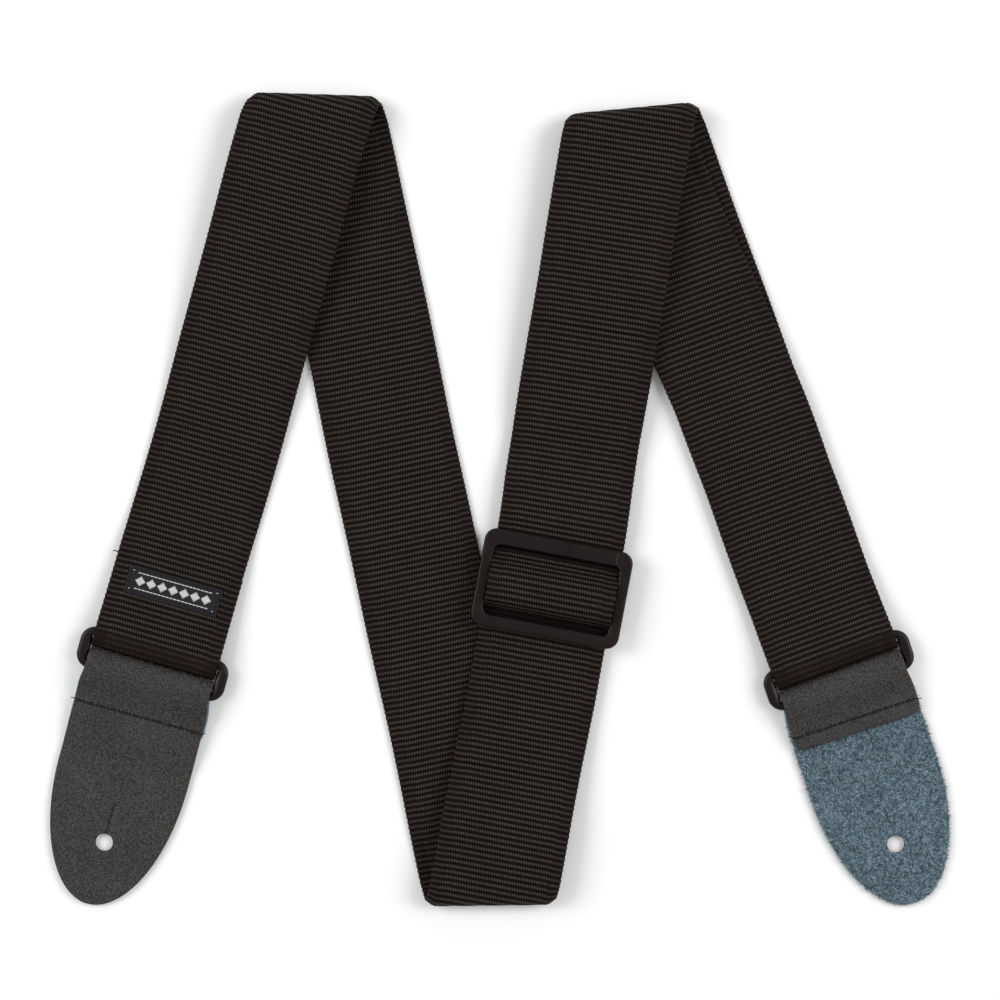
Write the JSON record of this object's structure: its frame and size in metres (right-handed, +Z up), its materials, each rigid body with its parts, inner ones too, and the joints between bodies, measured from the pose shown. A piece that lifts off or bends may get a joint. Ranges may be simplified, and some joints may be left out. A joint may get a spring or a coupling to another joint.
{
  "type": "guitar strap",
  "caption": "Adjustable ribbed webbing instrument strap with a three-bar slider, rectangular rings and leather button tabs, laid in folded runs.",
  "frame": {"origin": "centre of the bounding box at the floor the strap lies on", "axes": "+X to the right of the laid-out strap, +Y towards the two upper folds, +Z up from the floor"},
  "size_m": [0.3572, 0.3226, 0.0127],
  "materials": {
    "webbing": "ribbed woven nylon, matte",
    "thread": "spun thread",
    "label": "woven, matte",
    "plastic": "satin",
    "leather_grain": "smooth grain, low sheen",
    "leather_suede": "napped suede"
  },
  "bodies": {
    "webbing": {"webbing_left_run": "webbing", "webbing_back_run": "webbing", "webbing_front_run": "webbing", "webbing_below_slider": "webbing", "webbing_above_slider": "webbing", "webbing_front_top": "webbing", "webbing_right_floor": "webbing", "webbing_right_top": "webbing", "webbing_hidden_run": "webbing", "webbing_return": "webbing", "left_end_seam": "thread", "label": "label", "label_stitching": "thread"},
    "slider": {"slider_frame": "plastic", "webbing_in_slider": "webbing", "webbing_sewn_end": "webbing", "slider_end_seam": "thread"},
    "left_ring": {"left_ring": "plastic"},
    "left_tab": {"left_tab": "leather_grain", "left_tab_seam": "thread"},
    "right_ring": {"right_ring": "plastic"},
    "right_tab": {"right_tab": "leather_suede", "right_tab_seam": "thread"}
  },
  "joints": [
    {"name": "slider_travel", "type": "slide", "parent": "webbing", "child": "slider", "axis": [0.1874, 0.9823, 0], "range_m": [-0.008, 0.035], "deforming": ["webbing_below_slider", "webbing_above_slider", "webbing_return"]},
    {"name": "left_ring_hinge", "type": "hinge", "parent": "webbing", "child": "left_ring", "pos_m": [-0.13569, -0.0587, 0.00415], "axis": [-0.9641, 0.2656, 0], "range_deg": [0, 70]},
    {"name": "left_tab_hinge", "type": "hinge", "parent": "left_ring", "child": "left_tab", "pos_m": [-0.13927, -0.07172, 0.00415], "axis": [-0.9641, 0.2656, 0], "range_deg": [0, 85]},
    {"name": "right_ring_hinge", "type": "hinge", "parent": "webbing", "child": "right_ring", "pos_m": [0.13229, -0.0613, 0.00415], "axis": [-0.9489, -0.3156, 0], "range_deg": [0, 70]},
    {"name": "right_tab_hinge", "type": "hinge", "parent": "right_ring", "child": "right_tab", "pos_m": [0.13655, -0.07412, 0.00415], "axis": [-0.9489, -0.3156, 0], "range_deg": [0, 85]}
  ]
}
